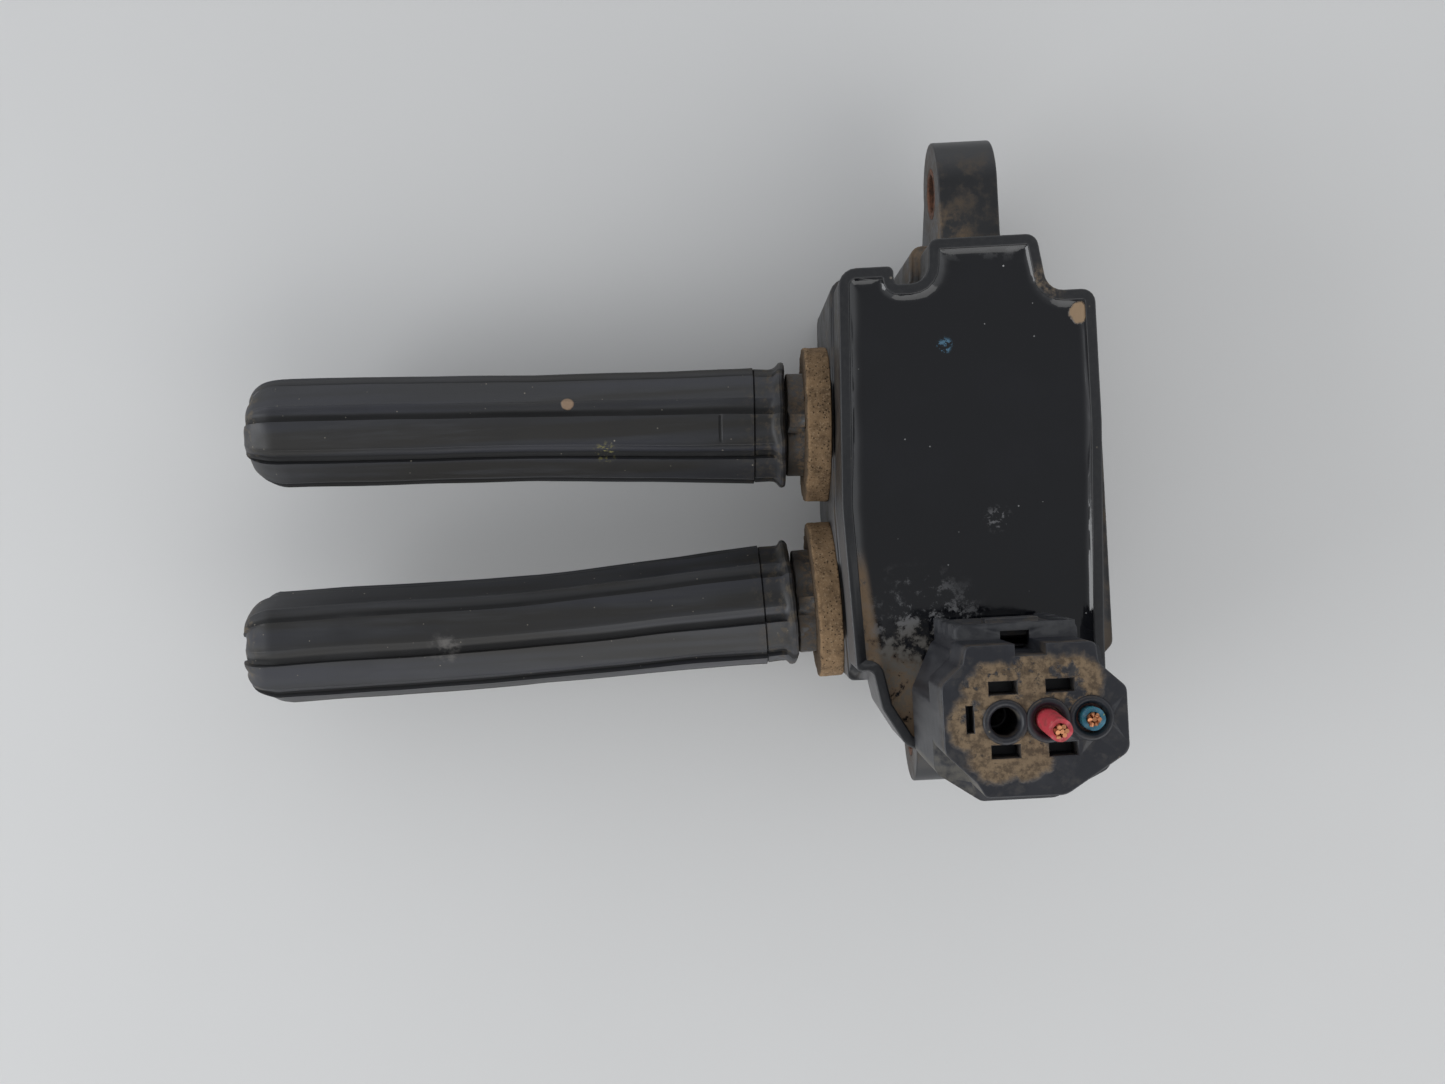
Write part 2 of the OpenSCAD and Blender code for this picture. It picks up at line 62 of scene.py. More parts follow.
class Shader:
    """A principled material whose colour, roughness and height are built up in layers.

    The sizes and depths that its methods take are in millimetres, and places are in metres."""

    def __init__(self, name, color, roughness, metallic=0.0, **sockets):
        self.material = bpy.data.materials.new(name)
        self.material.use_nodes = True
        self.tree = self.material.node_tree
        self.bsdf = self.tree.nodes["Principled BSDF"]
        self.color = (*color, 1.0)
        self.roughness = roughness
        self.height = None
        self.bsdf.inputs["Metallic"].default_value = metallic
        for socket, value in sockets.items():
            self.bsdf.inputs[socket.replace("_", " ")].default_value = value
        self.place = self.node("ShaderNodeTexCoord").outputs["Object"]

    def node(self, kind, **settings):
        made = self.tree.nodes.new(kind)
        for key, value in settings.items():
            setattr(made, key, value)
        return made

    def put(self, socket, value):
        if hasattr(value, "is_output"):
            self.tree.links.new(value, socket)
        else:
            socket.default_value = value

    def math(self, operation, a, b=0.0):
        made = self.node("ShaderNodeMath", operation=operation)
        self.put(made.inputs[0], a)
        self.put(made.inputs[1], b)
        return made.outputs[0]

    def stretched(self, scale):
        """The object's coordinates, scaled along each axis."""
        made = self.node("ShaderNodeMapping")
        self.put(made.inputs["Vector"], self.place)
        made.inputs["Scale"].default_value = scale
        return made.outputs[0]

    def noise(self, size, detail=4.0, roughness=0.6, vector=None):
        """Cloudy noise from 0 to 1, whose blotches are about `size` across."""
        made = self.node("ShaderNodeTexNoise")
        self.put(made.inputs["Vector"], vector or self.place)
        made.inputs["Scale"].default_value = 1.0 / (size * MM)
        made.inputs["Detail"].default_value = detail
        made.inputs["Roughness"].default_value = roughness
        return made.outputs[0]

    def cells(self, size):
        """Scattered cells: outputs Distance, from each middle, and Color, drawn by lot for each."""
        made = self.node("ShaderNodeTexVoronoi", feature="F1")
        self.put(made.inputs["Vector"], self.place)
        made.inputs["Scale"].default_value = 1.0 / (size * MM)
        return made.outputs

    def ramp(self, value, low, high):
        """0 below `low`, 1 above `high`; low may be the larger of the two."""
        made = self.node("ShaderNodeMapRange", interpolation_type="SMOOTHSTEP")
        self.put(made.inputs["Value"], value)
        made.inputs["From Min"].default_value = min(low, high)
        made.inputs["From Max"].default_value = max(low, high)
        made.inputs["To Min"].default_value = 0.0 if low < high else 1.0
        made.inputs["To Max"].default_value = 1.0 if low < high else 0.0
        return made.outputs[0]

    def part(self, name, vector):
        """The X, Y or Z of a vector."""
        made = self.node("ShaderNodeSeparateXYZ")
        self.put(made.inputs[0], vector)
        return made.outputs[name]

    def axis(self, name):
        return self.part(name, self.place)

    def facing(self, direction):
        """How far the surface faces a fixed direction of the object, from -1 to 1."""
        made = self.node("ShaderNodeVectorMath", operation="DOT_PRODUCT")
        self.put(made.inputs[0], self.node("ShaderNodeNewGeometry").outputs["Normal"])
        made.inputs[1].default_value = direction
        return made.outputs["Value"]

    def near(self, point, radius, soft=0.4, wobble=0.0, wobble_size=3):
        """1 within `radius` of a point, falling to 0 over the soft edge, with a ragged outline."""
        made = self.node("ShaderNodeVectorMath", operation="DISTANCE")
        self.put(made.inputs[0], self.place)
        made.inputs[1].default_value = point
        reach = made.outputs["Value"]
        if wobble:
            rough = self.math("MULTIPLY", self.math("SUBTRACT", self.noise(wobble_size), 0.5), wobble * MM)
            reach = self.math("ADD", reach, rough)
        return self.ramp(reach, radius * MM * (1 + soft), radius * MM * (1 - soft))

    def clouds(self, size, low, high, **grain):
        """Noise that is cut off between two of its values."""
        return self.ramp(self.noise(size, **grain), low, high)

    def both(self, first, *others):
        """1 only where every mask is."""
        for other in others:
            first = self.math("MULTIPLY", first, other)
        return first

    def either(self, a, b):
        return self.math("MAXIMUM", a, b)

    def mix(self, kind, mask, a, b):
        """`a` where the mask is 0 and `b` where it is 1, of the kind RGBA or FLOAT."""
        first, out = {"RGBA": (6, 2), "FLOAT": (2, 0)}[kind]
        made = self.node("ShaderNodeMix", data_type=kind)
        self.put(made.inputs["Factor"], mask)
        self.put(made.inputs[first], a)
        self.put(made.inputs[first + 1], b)
        return made.outputs[out]

    def layer(self, mask, color=None, roughness=None, strength=1.0):
        """Paints a colour and a roughness where the mask, or every mask of a tuple, is 1."""
        if isinstance(mask, tuple):
            mask = self.both(*mask)
        if strength != 1.0:
            mask = self.math("MULTIPLY", mask, strength)
        if color is not None:
            color = color if hasattr(color, "is_output") else (*color, 1.0)
            self.color = self.mix("RGBA", mask, self.color, color)
        if roughness is not None:
            self.roughness = self.mix("FLOAT", mask, self.roughness, roughness)

    def raise_by(self, value, depth):
        """Adds `depth` of height where the value is 1."""
        part = self.math("MULTIPLY", value, depth * MM)
        self.height = part if self.height is None else self.math("ADD", self.height, part)

    def done(self, strength=1.0):
        self.put(self.bsdf.inputs["Base Color"], self.color)
        self.put(self.bsdf.inputs["Roughness"], self.roughness)
        if self.height is not None:
            made = self.node("ShaderNodeBump")
            made.inputs["Strength"].default_value = strength
            made.inputs["Distance"].default_value = 1.0
            self.put(made.inputs["Height"], self.height)
            self.put(self.bsdf.inputs["Normal"], made.outputs[0])
        return self.material


# ---------------------------------------------------------------- mesh helpers

def smoothed(low, high, value):
    """0 below `low`, 1 above `high`, with a soft step between."""
    t = min(max((value - low) / (high - low), 0.0), 1.0)
    return t * t * (3 - 2 * t)


def along_table(table, value):
    """Straight-line value from a table of (place, value) pairs."""
    for (x0, y0), (x1, y1) in zip(table, table[1:]):
        if value <= x1:
            return y0 + (y1 - y0) * (value - x0) / (x1 - x0) if value > x0 else y0
    return table[-1][1]


def placed(name, data):
    """A new object of the scene that holds a mesh, a lamp or a camera."""
    made = bpy.data.objects.new(name, data)
    SCENE.collection.objects.link(made)
    return made


def stand_for(node, mesh, material, sharp=35):
    """A piece that takes a CAD node's place and body, with one material.

    Edges over `sharp` degrees are drawn sharp; None keeps the shading that the mesh has."""
    mesh.materials.clear()
    mesh.materials.append(material)
    if sharp is not None:
        mesh.shade_smooth()
        mesh.set_sharp_from_angle(angle=radians(sharp))
    piece = placed(node + "_fine", mesh)
    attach(piece, NODE_BODY[node])
    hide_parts(node)
    return piece


def mesh_of(name, points, faces):
    mesh = bpy.data.meshes.new(name)
    mesh.from_pydata([tuple(p) for p in points], [], faces)
    mesh.update()
    return mesh


def grid_faces(rows, columns, closed_rows=True):
    """Quads of a grid that is closed round its columns, and round its rows when asked."""
    faces = []
    for i in range(rows if closed_rows else rows - 1):
        for j in range(columns):
            a, b = i * columns, ((i + 1) % rows) * columns
            k = (j + 1) % columns
            faces.append((a + j, b + j, b + k, a + k))
    return faces


class Axis:
    """A straight axis of the object, with places on it given as distance, radius and turn."""

    def __init__(self, origin, direction, front=UP):
        self.origin = Vector(origin)
        self.along = Vector(direction).normalized()
        self.front = (front - self.along * front.dot(self.along)).normalized()
        self.side = self.along.cross(self.front)

    def place(self, distance, radius, turn):
        out = self.front * cos(turn) + self.side * sin(turn)
        return self.origin + self.along * distance + out * radius

    def span(self, node):
        """Lowest and highest distance along the axis that a CAD node reaches."""
        reach = [(v.co - self.origin).dot(self.along) for v in frame["nodes"][node].data.vertices]
        return min(reach), max(reach)

    def radii(self, node):
        reach = []
        for v in frame["nodes"][node].data.vertices:
            away = v.co - self.origin
            reach.append((away - self.along * away.dot(self.along)).length)
        return min(reach), max(reach)


def boot_axis(side):
    """Axis of a tower and its boot, starting at the body's front wall."""
    mount = MOUNTS["plug_bore_" + side]
    axis = Axis(mount["pos_m"], mount["axis"])
    axis.origin += axis.along * axis.span("foam_seal_" + side)[0]
    return axis


def node_box(node):
    low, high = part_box(node)
    return Vector(low), Vector(high)


FRONT = (boot_axis("upper").origin + boot_axis("lower").origin) / 2


def spot(x, y, z=0.0):
    """A place in millimetres from the middle of the front wall, at the level of the boots."""
    return FRONT + Vector((x, y, z)) * MM


def lathe(name, axis, profile, columns, shape=None):
    """A closed profile of (distance, radius) pairs turned about an axis; `shape` may move points."""
    points = []
    for i, (distance, radius) in enumerate(profile):
        for j in range(columns):
            turn = 2 * pi * j / columns
            d, r = shape(i, distance, radius, turn) if shape else (distance, radius)
            points.append(axis.place(d, r, turn))
    return mesh_of(name, points, grid_faces(len(profile), columns))


def rounded_profile(corners, steps=3):
    """Rounds a closed profile; each corner is (distance, radius, rounding)."""
    out = []
    count = len(corners)
    for i in range(count):
        before, here, after = corners[i - 1], corners[i], corners[(i + 1) % count]
        p = Vector(here[:2])
        a, b = Vector(before[:2]) - p, Vector(after[:2]) - p
        cut = min(here[2], a.length * 0.45, b.length * 0.45)
        if cut <= 0:
            out.append(tuple(p))
            continue
        start, end = p + a.normalized() * cut, p + b.normalized() * cut
        for k in range(steps + 1):
            t = k / steps
            out.append(tuple(start * (1 - t) ** 2 + p * 2 * t * (1 - t) + end * t * t))
    return out


def heading(route, i):
    """Direction of a route at one of its points."""
    return (route[min(i + 1, len(route) - 1)] - route[max(i - 1, 0)]).normalized()


def tube(name, route, radius, sides, closed_ends=True, shape=None):
    """A round tube swept along a list of points, with flat ends."""
    points, count = [], len(route)
    front = None
    for i, here in enumerate(route):
        ahead = heading(route, i)
        if front is None:
            front = ahead.orthogonal().normalized()
        front = (front - ahead * front.dot(ahead)).normalized()
        side = ahead.cross(front)
        for j in range(sides):
            turn = 2 * pi * j / sides
            r = radius if shape is None else shape(i, turn)
            points.append(here + front * r * cos(turn) + side * r * sin(turn))
    faces = [tuple(reversed(f)) for f in grid_faces(count, sides, closed_rows=False)]
    if closed_ends:
        faces.append(tuple(range(sides)))
        faces.append(tuple((count - 1) * sides + j for j in reversed(range(sides))))
    return fix_normals(mesh_of(name, points, faces))


def opened(*meshes):
    """The meshes together, ready for editing."""
    bm = bmesh.new()
    for mesh in meshes:
        bm.from_mesh(mesh)
    return bm


def fix_normals(mesh):
    bm = opened(mesh)
    bmesh.ops.recalc_face_normals(bm, faces=bm.faces)
    bm.to_mesh(mesh)
    bm.free()
    return mesh


def closed(name, bm):
    """A new mesh from one that was edited."""
    out = bpy.data.meshes.new(name)
    bm.to_mesh(out)
    bm.free()
    return out


def joined(name, meshes):
    out = closed(name, opened(*meshes))
    for mesh in meshes:
        bpy.data.meshes.remove(mesh)
    return out


def with_modifier(mesh, kind, **settings):
    """The mesh after one modifier."""
    holder = placed("holder", mesh)
    made = holder.modifiers.new(kind, kind)
    for key, value in settings.items():
        setattr(made, key, value)
    graph = bpy.context.evaluated_depsgraph_get()
    out = bpy.data.meshes.new_from_object(holder.evaluated_get(graph))
    bpy.data.objects.remove(holder)
    bpy.data.meshes.remove(mesh)
    return out


FLAT_ANGLE, CORNER_ANGLE, FOLD_ANGLE = (radians(degrees) for degrees in (0.4, 40, 120))
WELD = 0.03 * MM
REPAIRS = 5


def merge_flat(bm):
    """Joins the triangles of each flat face into large polygons that never touch themselves."""
    inner = [e for e in bm.edges if e.is_manifold and e.calc_face_angle(0.0) < FLAT_ANGLE]
    for edge in sorted(inner, key=lambda e: -e.calc_length()):
        if not edge.is_valid or len(edge.link_faces) != 2:
            continue
        a, b = edge.link_faces
        if a.normal.angle(b.normal, 1.0) > FLAT_ANGLE:
            continue
        if len(set(a.verts) & set(b.verts)) == len(set(a.edges) & set(b.edges)) + 1:
            bmesh.utils.face_join([a, b])
    spare = []
    for v in bm.verts:
        if len(v.link_edges) == 2:
            out, back = [e.other_vert(v).co - v.co for e in v.link_edges]
            if out.angle(-back, 1.0) < FLAT_ANGLE:
                spare.append(v)
    bmesh.ops.dissolve_verts(bm, verts=spare)


def folded_places(mesh):
    """Ends of the edges where a surface doubles back over itself."""
    bm = opened(mesh)
    folded = {v for e in bm.edges if e.calc_face_angle(0.0) > FOLD_ANGLE for v in e.verts}
    places = [v.co.copy() for v in folded]
    bm.free()
    return places


def rounded_copy(node, width, segments, extra=(), left_sharp=(0, 0)):
    """A copy of a CAD node's mesh with its sharp edges rounded off and its flat faces kept flat.

    Edges between the two heights of `left_sharp` are too crowded for it and keep their shape,
    and so do edges whose rounding folds the surface. The `extra` meshes are joined on."""
    bm = opened(frame["nodes"][node].data)
    bmesh.ops.remove_doubles(bm, verts=bm.verts, dist=WELD)
    bmesh.ops.dissolve_degenerate(bm, dist=WELD / 2, edges=bm.edges)
    bm.normal_update()
    merge_flat(bm)
    weight = bm.edges.layers.float.new("bevel_weight_edge")
    sharp = {e for e in bm.edges if e.is_convex and e.calc_face_angle(0.0) > CORNER_ANGLE}

    def crowded(edge):
        for v in edge.verts:
            if left_sharp[0] < v.co.z < left_sharp[1]:
                return True
            ahead = (edge.other_vert(v).co - v.co).normalized()
            for other in v.link_edges:
                if other in sharp and other is not edge and other.calc_length() < 3 * width:
                    if abs(ahead.dot((other.other_vert(v).co - v.co).normalized())) < 0.5:
                        return True
        return False

    for edge in sharp:
        edge[weight] = 0.0 if crowded(edge) else 1.0
    for attempt in range(REPAIRS):
        mesh = bpy.data.meshes.new(node + "_rounded")
        bm.to_mesh(mesh)
        mesh = with_modifier(
            mesh, "BEVEL", width=width, segments=segments, limit_method="WEIGHT", use_clamp_overlap=False)
        mesh = with_modifier(mesh, "TRIANGULATE", min_vertices=5)
        folds = folded_places(mesh)
        for edge in sharp:
            a, b = (v.co for v in edge.verts)
            for p in folds:
                foot, along = geometry.intersect_point_line(p, a, b)
                if -0.1 < along < 1.1 and (foot - p).length < 1.5 * width:
                    edge[weight] = 0.0
        if not folds:
            break
    bm.free()
    mesh = joined(node + "_fine", [mesh, *extra])
    mesh.shade_smooth()
    mesh.set_sharp_from_angle(angle=CORNER_ANGLE)
    return with_modifier(mesh, "WEIGHTED_NORMAL", keep_sharp=True)


# ---------------------------------------------------------------- stage, light and camera

TABLE_HALF = 9
HORIZON_LIGHT, OVERHEAD_LIGHT = 1.05, 0.36
SENSOR = 36.0
# The lens is this many times the sensor's width, and stands this many millimetres over the boots
LENS_RATIO = 0.98962
CAMERA_RISE = 257
TABLE_TURN = radians(3)


def stage():
    table = Shader("table_grey", (0.60, 0.60, 0.595), 0.55)
    table.layer(table.noise(60, detail=2), (0.64, 0.64, 0.64), strength=0.5)
    table.raise_by(table.noise(1.2, detail=3), 0.02)
    corners = [(TABLE_HALF * x, TABLE_HALF * y, 0) for x, y in ((-1, -1), (1, -1), (1, 1), (-1, 1))]
    floor = mesh_of("table_top", corners, [(0, 1, 2, 3)])
    floor.materials.append(table.done(0.5))
    placed("table_top", floor)


def lamp(name, place, aim, size, power, color):
    light = bpy.data.lights.new(name, "AREA")
    light.shape = "RECTANGLE"
    light.size, light.size_y = size
    light.energy = power
    light.color = color
    holder = placed(name, light)
    holder.location = place
    holder.rotation_euler = (Vector(aim) - Vector(place)).to_track_quat("-Z", "Y").to_euler()


def studio():
    """Soft light all round, dimmer overhead so that the gloss stays dark, and two windows."""
    world = bpy.data.worlds.new("soft_room")
    world.use_nodes = True
    tree = world.node_tree
    place = tree.nodes.new("ShaderNodeTexCoord")
    split = tree.nodes.new("ShaderNodeSeparateXYZ")
    fade = tree.nodes.new("ShaderNodeMapRange")
    fade.interpolation_type = "SMOOTHSTEP"
    steps = {"From Min": 0.45, "From Max": 0.95, "To Min": HORIZON_LIGHT, "To Max": OVERHEAD_LIGHT}
    for socket, value in steps.items():
        fade.inputs[socket].default_value = value
    tree.links.new(place.outputs["Generated"], split.inputs[0])
    tree.links.new(split.outputs["Z"], fade.inputs["Value"])
    tree.links.new(fade.outputs[0], tree.nodes["Background"].inputs["Strength"])
    tree.nodes["Background"].inputs["Color"].default_value = (0.95, 0.97, 1.0, 1.0)
    SCENE.world = world
    lamp("window_lower_right", (0.40, -0.75, 0.52), (0.03, 0, 0.02), (1.2, 0.9), 3.8, (1.0, 0.99, 0.97))
    lamp("window_left", (-0.80, -0.20, 0.40), (0.0, 0, 0.02), (0.5, 0.5), 3.0, (0.96, 0.98, 1.0))
    SCENE.view_settings.view_transform = "Standard"


def camera():
    """Straight overhead, at the height over the boots that the lens and the scale give."""
    lens = bpy.data.cameras.new("overhead")
    lens.sensor_width = SENSOR
    lens.lens = SENSOR * LENS_RATIO
    lens.clip_start = 0.01
    holder = placed("overhead", lens)
    holder.location = spot(-19.7, -4.5, CAMERA_RISE)
    holder.rotation_euler = (0, 0, -TABLE_TURN)
    SCENE.camera = holder


# ---------------------------------------------------------------- materials

def dimmed(color, share):
    return tuple(c * share for c in color)


def plain(name, color, roughness, shade=0.25):
    look = Shader(name, color, roughness)
    look.layer(look.noise(3), dimmed(color, 1 - shade), roughness * 1.1)
    look.raise_by(look.noise(0.4, detail=3), 0.01)
    return look.done()


def black_plastic(name, color=(0.014, 0.0145, 0.016), roughness=0.42):
    look = Shader(name, color, roughness, Specular_IOR_Level=0.5)
    look.layer(look.noise(9, detail=5), dimmed(color, 1.6), roughness + 0.08)
    look.raise_by(look.noise(0.25, detail=2), 0.006)
    return look


def aligned(look, axis):
    """Distance along an axis, as a shader value in metres."""
    made = look.node("ShaderNodeVectorMath", operation="DOT_PRODUCT")
    look.put(made.inputs[0], look.place)
    made.inputs[1].default_value = axis.along
    return look.math("SUBTRACT", made.outputs["Value"], axis.origin.dot(axis.along))


def specks(look, size, share, grain=0.16):
    """Scattered grains: a dot of `grain` times the size in about `share` of the cells."""
    cells = look.cells(size)
    chosen = look.ramp(look.part("X", cells["Color"]), 1 - share, 1 - share + 0.01)
    return look.both(look.ramp(cells["Distance"], grain, grain * 0.6), chosen)


def boot_rubber(name, axis, reach):
    look = Shader(name, (0.021, 0.0215, 0.024), 0.46, Specular_IOR_Level=0.42)
    streaks = look.noise(2.2, detail=4, vector=look.stretched((0.09, 1, 1)))
    bands = look.noise(5, detail=2, vector=look.stretched((0.04, 1, 1)))
    look.layer(look.ramp(bands, 0.52, 0.40), (0.015, 0.0138, 0.0122), 0.5, 0.9)
    look.layer(look.ramp(bands, 0.52, 0.64), (0.024, 0.025, 0.032), 0.42, 0.9)
    look.layer(look.ramp(streaks, 0.48, 0.75), (0.034, 0.035, 0.039), 0.55, 0.6)
    shade_in_dips = look.node("ShaderNodeAttribute", attribute_name="shade_in_dips").outputs["Fac"]
    # painted shade: the flute valleys and the tick groove are darkened by how deep they dip
    look.layer(look.ramp(shade_in_dips, 0.1, 0.55), (0.0045, 0.0045, 0.005), 0.7, 0.92)
    look.layer(look.clouds(13, 0.5, 0.8, detail=3), (0.014, 0.014, 0.016), 0.36, 0.6)
    along = aligned(look, axis)
    near_collar = look.ramp(along, reach[0] + 9 * MM, reach[0] + 2.5 * MM)
    near_tip = look.ramp(along, reach[1] - 4.0 * MM, reach[1] - 1.2 * MM)
    clouds = look.clouds(1.6, 0.48, 0.66, detail=6, roughness=0.7)
    look.layer((near_collar, clouds), (0.10, 0.078, 0.052), 0.85, 0.6)
    look.layer((near_tip, clouds), (0.13, 0.105, 0.072), 0.85, 0.85)
    look.layer(specks(look, 0.9, 0.06), (0.17, 0.155, 0.13), 0.9, 0.8)
    look.layer(specks(look, 1.7, 0.07, 0.11), (0.30, 0.27, 0.22), 0.9, 0.8)
    look.raise_by(streaks, 0.02)
    look.raise_by(look.noise(0.5, detail=3), 0.008)
    return look


def foam():
    look = Shader("seal_foam_tan", (0.215, 0.140, 0.078), 0.95, Specular_IOR_Level=0.2)
    look.layer(look.clouds(2.4, 0.42, 0.68, detail=5), (0.115, 0.074, 0.042))
    look.layer(look.clouds(0.45, 0.52, 0.66, detail=3, roughness=0.8), (0.31, 0.22, 0.135), strength=0.8)
    # painted shade: the foam pores are darkened as if shaded inside
    pores = look.ramp(look.cells(0.62)["Distance"], 0.30, 0.12)
    look.layer(pores, (0.030, 0.020, 0.013), strength=0.75)
    # painted shade: faces of the seal turned toward -X are darkened
    look.layer(look.ramp(look.facing((-1, 0, 0)), 0.4, 0.9), (0.035, 0.027, 0.02), strength=0.75)
    look.raise_by(pores, -0.10)
    look.raise_by(look.noise(0.5, detail=4), 0.09)
    return look.done()


def rusty():
    look = Shader("bush_rust", (0.14, 0.062, 0.036), 0.72, metallic=0.55)
    look.layer(look.clouds(1.1, 0.42, 0.62, detail=6), (0.062, 0.036, 0.026), 0.85)
    look.layer(look.clouds(0.7, 0.62, 0.75, detail=5), (0.27, 0.25, 0.23), 0.42)
    look.raise_by(look.noise(0.35, detail=5), 0.045)
    return look.done()


def metal(name, color, roughness, grain=(1, 1, 1), stain=0.5):
    """Bare metal, stained in places, with lines that `grain` draws out along its small axes."""
    look = Shader(name, color, roughness, metallic=1.0)
    lines = look.noise(0.3, detail=3, vector=look.stretched(grain))
    look.layer(look.clouds(1.7, 0.5, 0.75), dimmed(color, stain), roughness + 0.15, 0.7)
    look.layer(lines, roughness=roughness + 0.12)
    look.raise_by(lines, 0.006)
    return look.done()


def ridged(name, color, roughness, axis_name, spacing, depth, metallic=0.0):
    """Fine parallel ridges across one axis: turns of wire, or the edges of stacked sheets."""
    look = Shader(name, color, roughness, metallic)
    phase = look.math("MULTIPLY", look.axis(axis_name), 2 * pi / (spacing * MM))
    wave = look.ramp(look.math("SINE", phase), -1, 1)
    look.layer(look.ramp(wave, 0.45, 0.0), dimmed(color, 0.3), roughness + 0.1)
    look.layer(look.clouds(2.5, 0.45, 0.7), dimmed(color, 0.7), strength=0.6)
    look.raise_by(wave, depth)
    return look.done()


# ---------------------------------------------------------------- boots, springs and seals

FLUTES = 8
PITCH_DEG = 360 / FLUTES
# Angles across one flute: a step down, a valley, a slope up to a thin ridge, then a flat panel
FLUTE_TURNS = (0, 0.6, 2.5, 4.5, 6.5, 9.5, 12, 14.4, 15.5, 16.2, 17, 19, 23, 27, 31, 35, 39, 42.5, 44.4)
FLUTE_HEIGHTS = (
    (0, 0), (0.6, -0.92), (2.5, -1.0), (4.5, -0.98), (6.5, -0.80), (9.5, -0.42), (14.4, -0.10),
    (15.5, 0.08), (16.2, 0.1), (17, 0),
)
PANEL_MIDDLE, PANEL_HALF, PANEL_SAG = 31, 14, 0.3
# Pairs of distance from the collar and radius, or added radius, in millimetres
BOOT_RADII = (
    (0, 10.5), (2.9, 10.2), (5.3, 10.3), (5.6, 10.55), (7, 10.5), (20, 10.1), (45, 9.65), (72, 9.9),
    (200, 9.9),
)
LIP = ((0, 0.0), (0.3, 0.52), (0.8, 0.74), (1.2, 0.66), (1.7, 0.1), (2.0, 0.0), (9, 0.0))
TIP_LENGTH, TIP_DROP, TIP_STEPS = 6.5, 4.3, 12
BORE_R, BORE_LENGTH = 5.1, 40
CHANNEL_R, CHANNEL_START = 3.7, 26.9
NOSE_R, NOSE_END = 6.05, 24.6
COLLAR_RINGS = (
    0, 0.15, 0.35, 0.8, 1.2, 1.7, 2.0, 2.3, 2.6, 2.9, 3.3, 4.0, 4.7, 5.2, 5.3, 5.45, 5.6, 6.2, 7.0,
)
BARREL_RINGS = 46
GROOVE_AT, GROOVE_DEPTH = 5.45, 0.32


def boot_mesh(side, axis, start_deg, bow, stretch, tick_at):
    """Outer skin with eight flutes, and the bores inside, as one closed skin."""
    collar, tip = axis.span("boot_" + side)
    length = (tip - collar) / MM + stretch
    outward = 1 if side == "upper" else -1
    seed = Vector((3.7, 1.9 * outward, 8.2))
    start = COLLAR_RINGS[-1]
    outer = list(COLLAR_RINGS)
    outer += [start + (length - TIP_LENGTH - start) * k / BARREL_RINGS for k in range(1, BARREL_RINGS + 1)]
    if tick_at:
        outer += [tick_at - 0.35, tick_at - 0.12, tick_at + 0.12, tick_at + 0.35]
        outer.sort()
    seat = (tip - collar) / MM - BORE_LENGTH
    inner = [
        (length - 1, BORE_R), (seat, BORE_R), (seat - 1.5, CHANNEL_R), (CHANNEL_START, CHANNEL_R),
        (NOSE_END, NOSE_R), (0, NOSE_R),
    ]
    rows = [("skin", d, along_table(BOOT_RADII, d)) for d in outer]
    for k in range(1, TIP_STEPS + 1):
        a = pi / 2 * k / TIP_STEPS
        tip_r = BOOT_RADII[-1][1] - TIP_DROP * (1 - cos(a))
        rows.append(("tip", length - TIP_LENGTH * (1 - sin(a)), tip_r))
    rows += [("bore", d, r) for d, r in inner]
    points, shades_in_dips = [], []
    for kind, d, r in rows:
        for k in range(FLUTES):
            cut = abs(noise(Vector((k * 2.7, 1.3, 5)) + seed)) * 3.2
            for t in FLUTE_TURNS:
                waver = 0.9 * noise(Vector((d / 14, k * 5.1, 0)) + seed)
                turn = radians(start_deg + k * PITCH_DEG + t + waver)
                place, radius = d, r
                swing = Vector((cos(turn), sin(turn), 0))
                height = mark = 0.0
                if kind != "bore":
                    height = along_table(FLUTE_HEIGHTS, t) if t <= 17 else 0.0
                    across = (t - PANEL_MIDDLE) / PANEL_HALF
                    height -= PANEL_SAG * max(0.0, 1 - across * across)
                    fade = smoothed(1.8, 2.4, d) * (1 - 0.75 * smoothed(length - 4, length, d))
                    uneven = 0.85 + 0.3 * noise(Vector((d / 25, k * 2.3, 4)) + seed)
                    radius += height * fade * uneven
                    radius += 0.10 * noise(Vector((d / 9, 0, 0)) + swing * 1.4 + seed)
                    radius += along_table(LIP, d) * (1 + 0.35 * noise(swing * 2.2 + seed))
                    if d < 4:
                        wave = 0.38 * sin(2 * turn + outward) + 0.25 * noise(swing * 3 + seed)
                        place += smoothed(4, 1, d) * wave
                        place = max(place, 0.02 * d)
                    if abs(d - GROOVE_AT) < 0.1:
                        radius -= GROOVE_DEPTH
                    if tick_at and abs(d - tick_at) < 0.2 and t > 17 and k == FLUTES - 1:
                        radius -= 0.16
                        mark = 0.6
                if kind == "tip":
                    wear = noise(swing * 2.6 + Vector((d / 3, 0, 0)) + seed)
                    radius += 0.22 * wear - 0.3 * cut * smoothed(length - 6.5, length - 3, d)
                    place -= 0.5 * cut * smoothed(length - 5, length - 1, d)
                    step = max(0.0, noise(swing * 3.2 + seed * 2) - 0.05)
                    place -= 0.8 * step * smoothed(length - 3.5, length, d)
                here = axis.place(collar + place * MM, radius * MM, turn)
                if kind != "bore":
                    sway = bow * sin(pi * smoothed(0, 1, d / length)) * MM
                    here = here + axis.side * sway * outward
                points.append(here)
                # how deep the point dips, used for the painted shade in the valleys and the tick
                shades_in_dips.append(max(mark, -height - PANEL_SAG))
    mesh = mesh_of("boot_" + side + "_skin", points, grid_faces(len(rows), FLUTES * len(FLUTE_TURNS)))
    mesh.attributes.new("shade_in_dips", "FLOAT", "POINT").data.foreach_set("value", shades_in_dips)
    return fix_normals(mesh)


